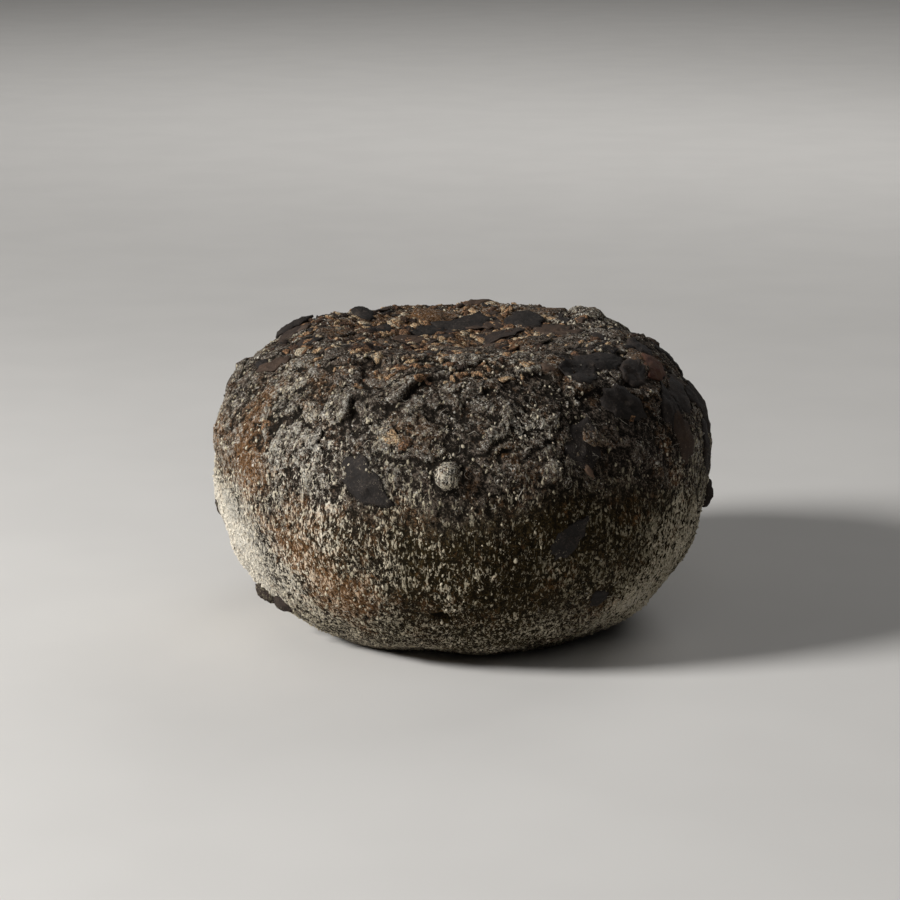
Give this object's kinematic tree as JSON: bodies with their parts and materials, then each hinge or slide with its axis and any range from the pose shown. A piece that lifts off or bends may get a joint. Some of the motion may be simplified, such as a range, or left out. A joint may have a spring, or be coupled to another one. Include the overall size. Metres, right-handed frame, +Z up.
{
  "type": "wine-aged pecorino wheel",
  "caption": "Small round wheel of sheep's cheese aged in grape pomace, with bulging sides, a dished top and a dark crust of grape skins under pale mould.",
  "frame": {"origin": "middle of the flat base, on the surface the wheel stands on", "axes": "+Z up through the middle of the wheel, -Y towards the front that the picture shows, +X to the right"},
  "size_m": [0.1514, 0.1517, 0.0903],
  "materials": {
    "pomace_rind": "dry dark crust of grape skins with cream mould, matte and rough"
  },
  "bodies": {
    "root": {"pecorino_wheel": "pomace_rind"}
  },
  "joints": []
}
